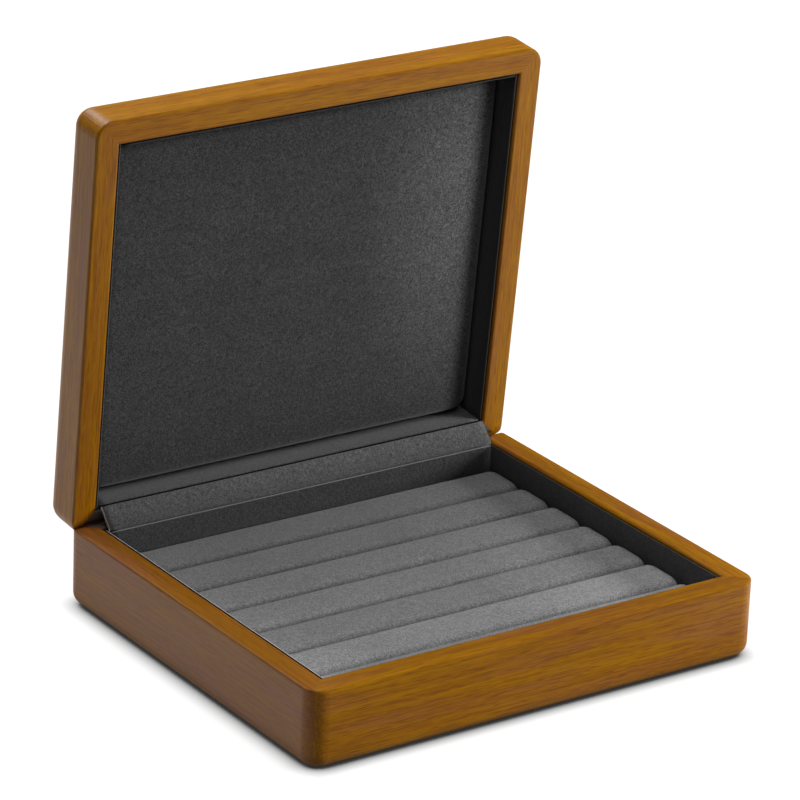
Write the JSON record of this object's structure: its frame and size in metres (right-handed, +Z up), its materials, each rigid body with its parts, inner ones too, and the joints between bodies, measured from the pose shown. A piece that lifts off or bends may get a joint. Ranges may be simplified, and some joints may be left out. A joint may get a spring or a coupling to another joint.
{
  "type": "ring display box",
  "caption": "Mitred hardwood box with rounded corners, a hinged lid with a padded suede recess, and a row of padded rolls that hold rings.",
  "frame": {"origin": "middle of the felt underneath the case, on the surface that the box stands on", "axes": "+Z up, +X to the right along the front rail, +Y from the front rail to the hinge; the lid stands open at rest"},
  "size_m": [0.22, 0.2049, 0.2188],
  "materials": {
    "hardwood": "satin oiled",
    "veneered_board": "satin oiled",
    "card_board": "raw",
    "dark_suede": "matt nap",
    "grey_suede": "matt nap",
    "felt": "matt",
    "brass": "satin",
    "steel": "satin"
  },
  "bodies": {
    "case": {"case_front_rail": "hardwood", "case_left_rail": "hardwood", "case_right_rail": "hardwood", "case_back_rail": "hardwood", "case_floor": "veneered_board", "case_felt": "felt", "case_front_liner": "dark_suede", "case_left_liner": "dark_suede", "case_right_liner": "dark_suede", "case_back_liner": "dark_suede", "roll_tray": "card_board", "ring_roll_1": "grey_suede", "ring_roll_2": "grey_suede", "ring_roll_3": "grey_suede", "ring_roll_4": "grey_suede", "ring_roll_5": "grey_suede", "ring_roll_6": "grey_suede", "ring_roll_7": "grey_suede", "case_hinge_leaves": "brass", "hinge_pins": "steel", "case_hinge_screws": "steel"},
    "lid": {"lid_front_rail": "hardwood", "lid_left_rail": "hardwood", "lid_right_rail": "hardwood", "lid_back_rail": "hardwood", "lid_top": "veneered_board", "lid_front_liner": "dark_suede", "lid_left_liner": "dark_suede", "lid_right_liner": "dark_suede", "lid_back_liner": "dark_suede", "lid_pad_board": "card_board", "lid_pad": "dark_suede", "lid_hinge_leaves": "brass", "lid_hinge_screws": "steel"},
    "cover": {"hinge_cover": "dark_suede", "cover_spring_plate": "steel"}
  },
  "joints": [
    {"name": "lid_hinge", "type": "hinge", "parent": "case", "child": "lid", "pos_m": [0, 0.089, 0.0352], "axis": [1, 0, 0], "range_deg": [0, 85]},
    {"name": "cover_fold", "type": "hinge", "parent": "case", "child": "cover", "pos_m": [0, 0.0804, 0.0352], "axis": [1, 0, 0], "range_deg": [0, 42.5]}
  ],
  "couplings": [
    {"joint": "cover_fold", "follows": "lid_hinge", "ratio": 0.5}
  ]
}
